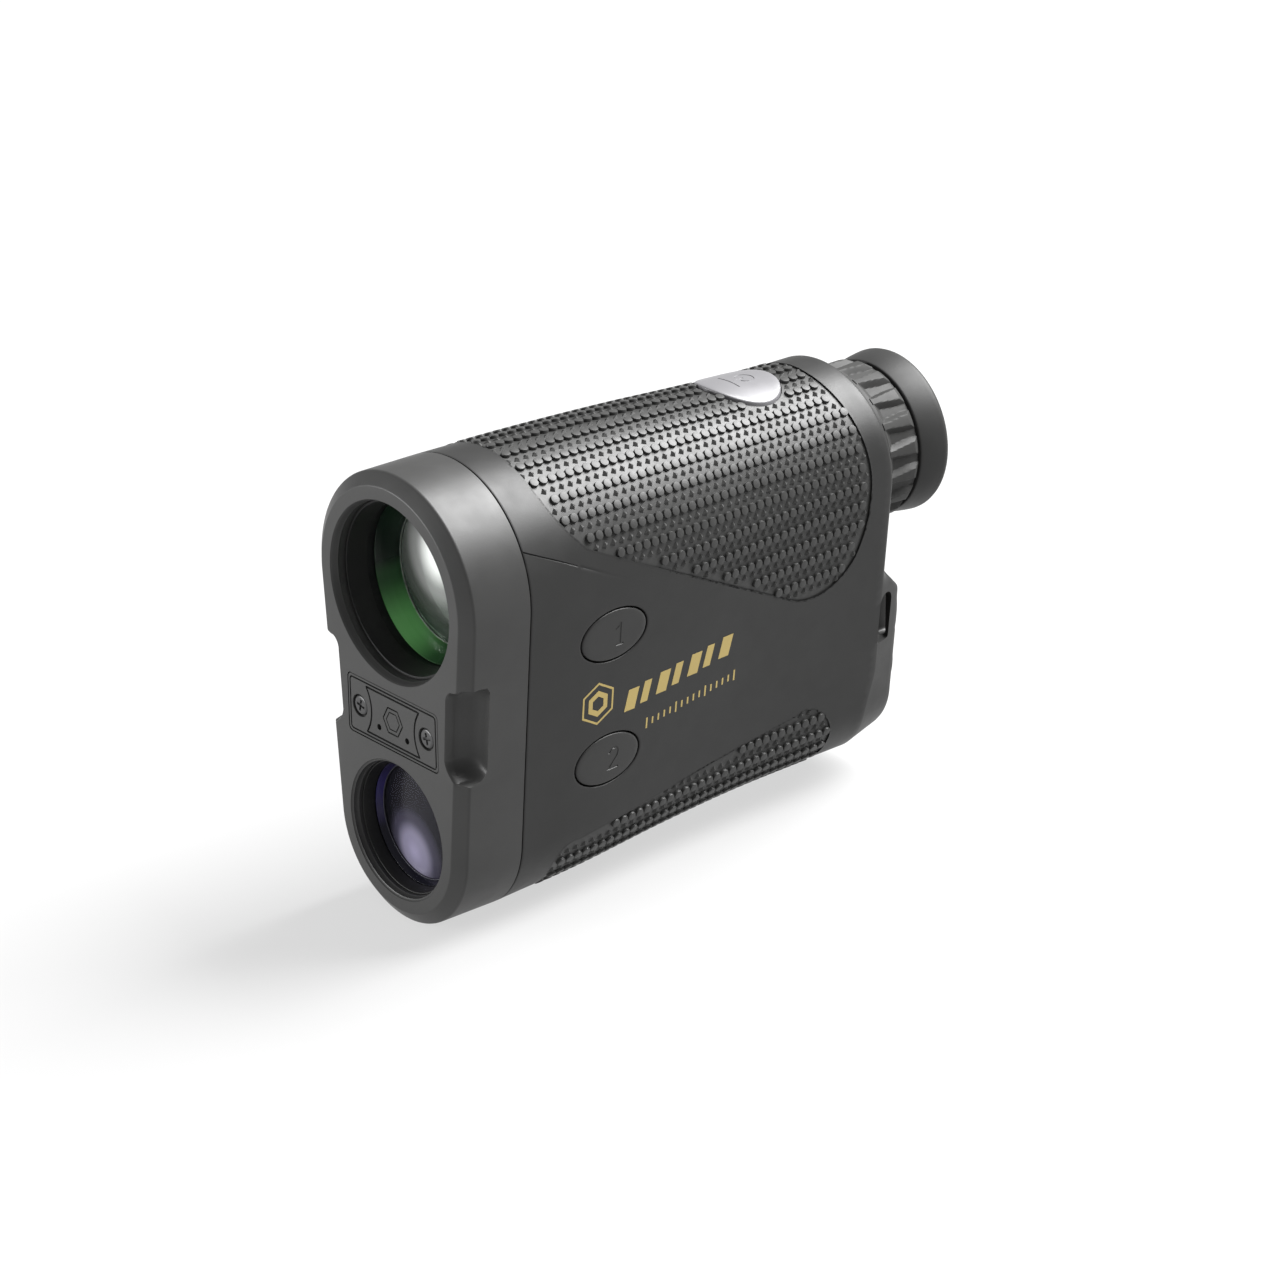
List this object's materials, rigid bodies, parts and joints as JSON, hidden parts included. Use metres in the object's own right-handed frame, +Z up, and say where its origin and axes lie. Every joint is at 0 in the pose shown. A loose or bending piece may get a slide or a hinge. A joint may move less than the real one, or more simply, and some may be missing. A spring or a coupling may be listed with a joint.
{
  "type": "laser rangefinder",
  "caption": "Handheld laser rangefinder: tapered dark grey body, large and small front lenses, studded rubber grips, side and top buttons, fluted eyepiece ring.",
  "frame": {"origin": "under the middle of the bounding box, level with the lowest point of the nose", "axes": "+Z up, the lenses face -Y and the eyepiece +Y, and the side with the numbered buttons faces +X"},
  "size_m": [0.0386, 0.1068, 0.0759],
  "materials": {
    "housing_grey": "fine satin texture, dark grey glass-filled nylon",
    "bezel_grey": "fine satin texture, dark grey",
    "grip_rubber": "matte, moulded with rows of round studs",
    "button_grey": "satin, engraved number",
    "power_pale": "smooth silver grey with a fine metallic flake",
    "gold_print": "matte metallic print",
    "screw_steel": "dark plated steel, cross recess",
    "anodised_black": "black anodised, fine turning marks",
    "bare_aluminium": "machined, bead blasted",
    "coated_glass": "polished, green anti-reflection coating",
    "blue_coated_glass": "polished, violet anti-reflection coating",
    "prism_glass": "polished crown glass",
    "seal_rubber": "smooth black nitrile",
    "board_green": "solder-masked glass-epoxy",
    "chip_black": "moulded epoxy",
    "display_glass": "thin display glass with a clear window",
    "flex_amber": "polyimide film",
    "detector_metal": "gold-flashed can",
    "cell_sleeve": "printed shrink film",
    "spring_steel": "bright wire",
    "cup_rubber": "soft matte rubber"
  },
  "bodies": {
    "frame": {"nose_bezel": "bezel_grey", "nose_seal": "seal_rubber", "front_plate": "bezel_grey", "plate_screws": "screw_steel", "main_housing": "housing_grey", "upper_grip": "grip_rubber", "lower_grip": "grip_rubber", "objective_retainer": "anodised_black", "objective_front_lens": "coated_glass", "objective_second_lens": "coated_glass", "objective_barrel": "anodised_black", "objective_oring": "seal_rubber", "rear_objective_lens": "coated_glass", "receiver_retainer": "anodised_black", "receiver_lens": "blue_coated_glass", "receiver_barrel": "anodised_black", "receiver_oring": "seal_rubber", "detector": "detector_metal", "detector_board": "board_green", "front_prism": "prism_glass", "roof_prism": "prism_glass", "prism_cradle": "bare_aluminium", "laser_diode": "detector_metal", "display_panel": "display_glass", "display_flex": "flex_amber", "eyepiece_tube": "anodised_black", "battery_tube": "housing_grey", "battery": "cell_sleeve", "battery_spring": "spring_steel", "chassis": "bare_aluminium", "main_board": "board_green", "board_chips": "chip_black", "switch_board": "board_green", "side_switches": "chip_black", "power_board": "board_green", "power_switch": "chip_black"},
    "power_button": {"power_button": "power_pale"},
    "button_1": {"button_1": "button_grey"},
    "button_2": {"button_2": "button_grey"},
    "diopter_ring": {"diopter_ring": "housing_grey"},
    "ocular_group": {"ocular_cell": "anodised_black", "field_lens": "coated_glass", "eye_lens": "coated_glass", "ocular_retainer": "anodised_black", "diopter_pins": "screw_steel"},
    "eyecup_lift": {"eyecup_lift_ring": "anodised_black"},
    "eyecup_turn": {"eyecup_sleeve": "anodised_black", "eyecup": "cup_rubber"},
    "cap_travel": {"battery_cap_oring": "seal_rubber"},
    "cap_turn": {"battery_cap": "housing_grey", "battery_contact": "spring_steel"}
  },
  "joints": [
    {"name": "power_press", "type": "slide", "parent": "frame", "child": "power_button", "axis": [0, 0, -1], "range_m": [0, 0.0005], "stiffness_N_per_m": 4000, "springref_m": -0.0004},
    {"name": "button_1_press", "type": "slide", "parent": "frame", "child": "button_1", "axis": [-0.9957, 0, 0.0924], "range_m": [0, 0.0005], "stiffness_N_per_m": 4000, "springref_m": -0.0003},
    {"name": "button_2_press", "type": "slide", "parent": "frame", "child": "button_2", "axis": [-0.9957, 0, 0.0924], "range_m": [0, 0.0005], "stiffness_N_per_m": 4000, "springref_m": -0.0003},
    {"name": "diopter_turn", "type": "hinge", "parent": "frame", "child": "diopter_ring", "pos_m": [0, 0.0426, 0.0566], "axis": [0, 1, 0], "range_deg": [-60, 60]},
    {"name": "ocular_focus", "type": "slide", "parent": "frame", "child": "ocular_group", "axis": [0, 1, 0], "range_m": [-0.0009, 0.0009]},
    {"name": "eyecup_rise", "type": "slide", "parent": "frame", "child": "eyecup_lift", "axis": [0, 1, 0], "range_m": [0, 0.0042]},
    {"name": "eyecup_twist", "type": "hinge", "parent": "eyecup_lift", "child": "eyecup_turn", "pos_m": [0, 0.0496, 0.0566], "axis": [0, 1, 0], "range_deg": [0, 90]},
    {"name": "cap_travel", "type": "slide", "parent": "frame", "child": "cap_travel", "axis": [0, 1, 0], "range_m": [0, 0.003]},
    {"name": "cap_unscrew", "type": "hinge", "parent": "cap_travel", "child": "cap_turn", "pos_m": [0, 0.0431, 0.0206], "axis": [0, 1, 0], "range_deg": [0, 720]}
  ],
  "couplings": [
    {"joint": "diopter_turn", "follows": "ocular_focus", "rad_per_m": 1163.6},
    {"joint": "eyecup_twist", "follows": "eyecup_rise", "rad_per_m": 374},
    {"joint": "cap_unscrew", "follows": "cap_travel", "rad_per_m": 4188.8}
  ]
}
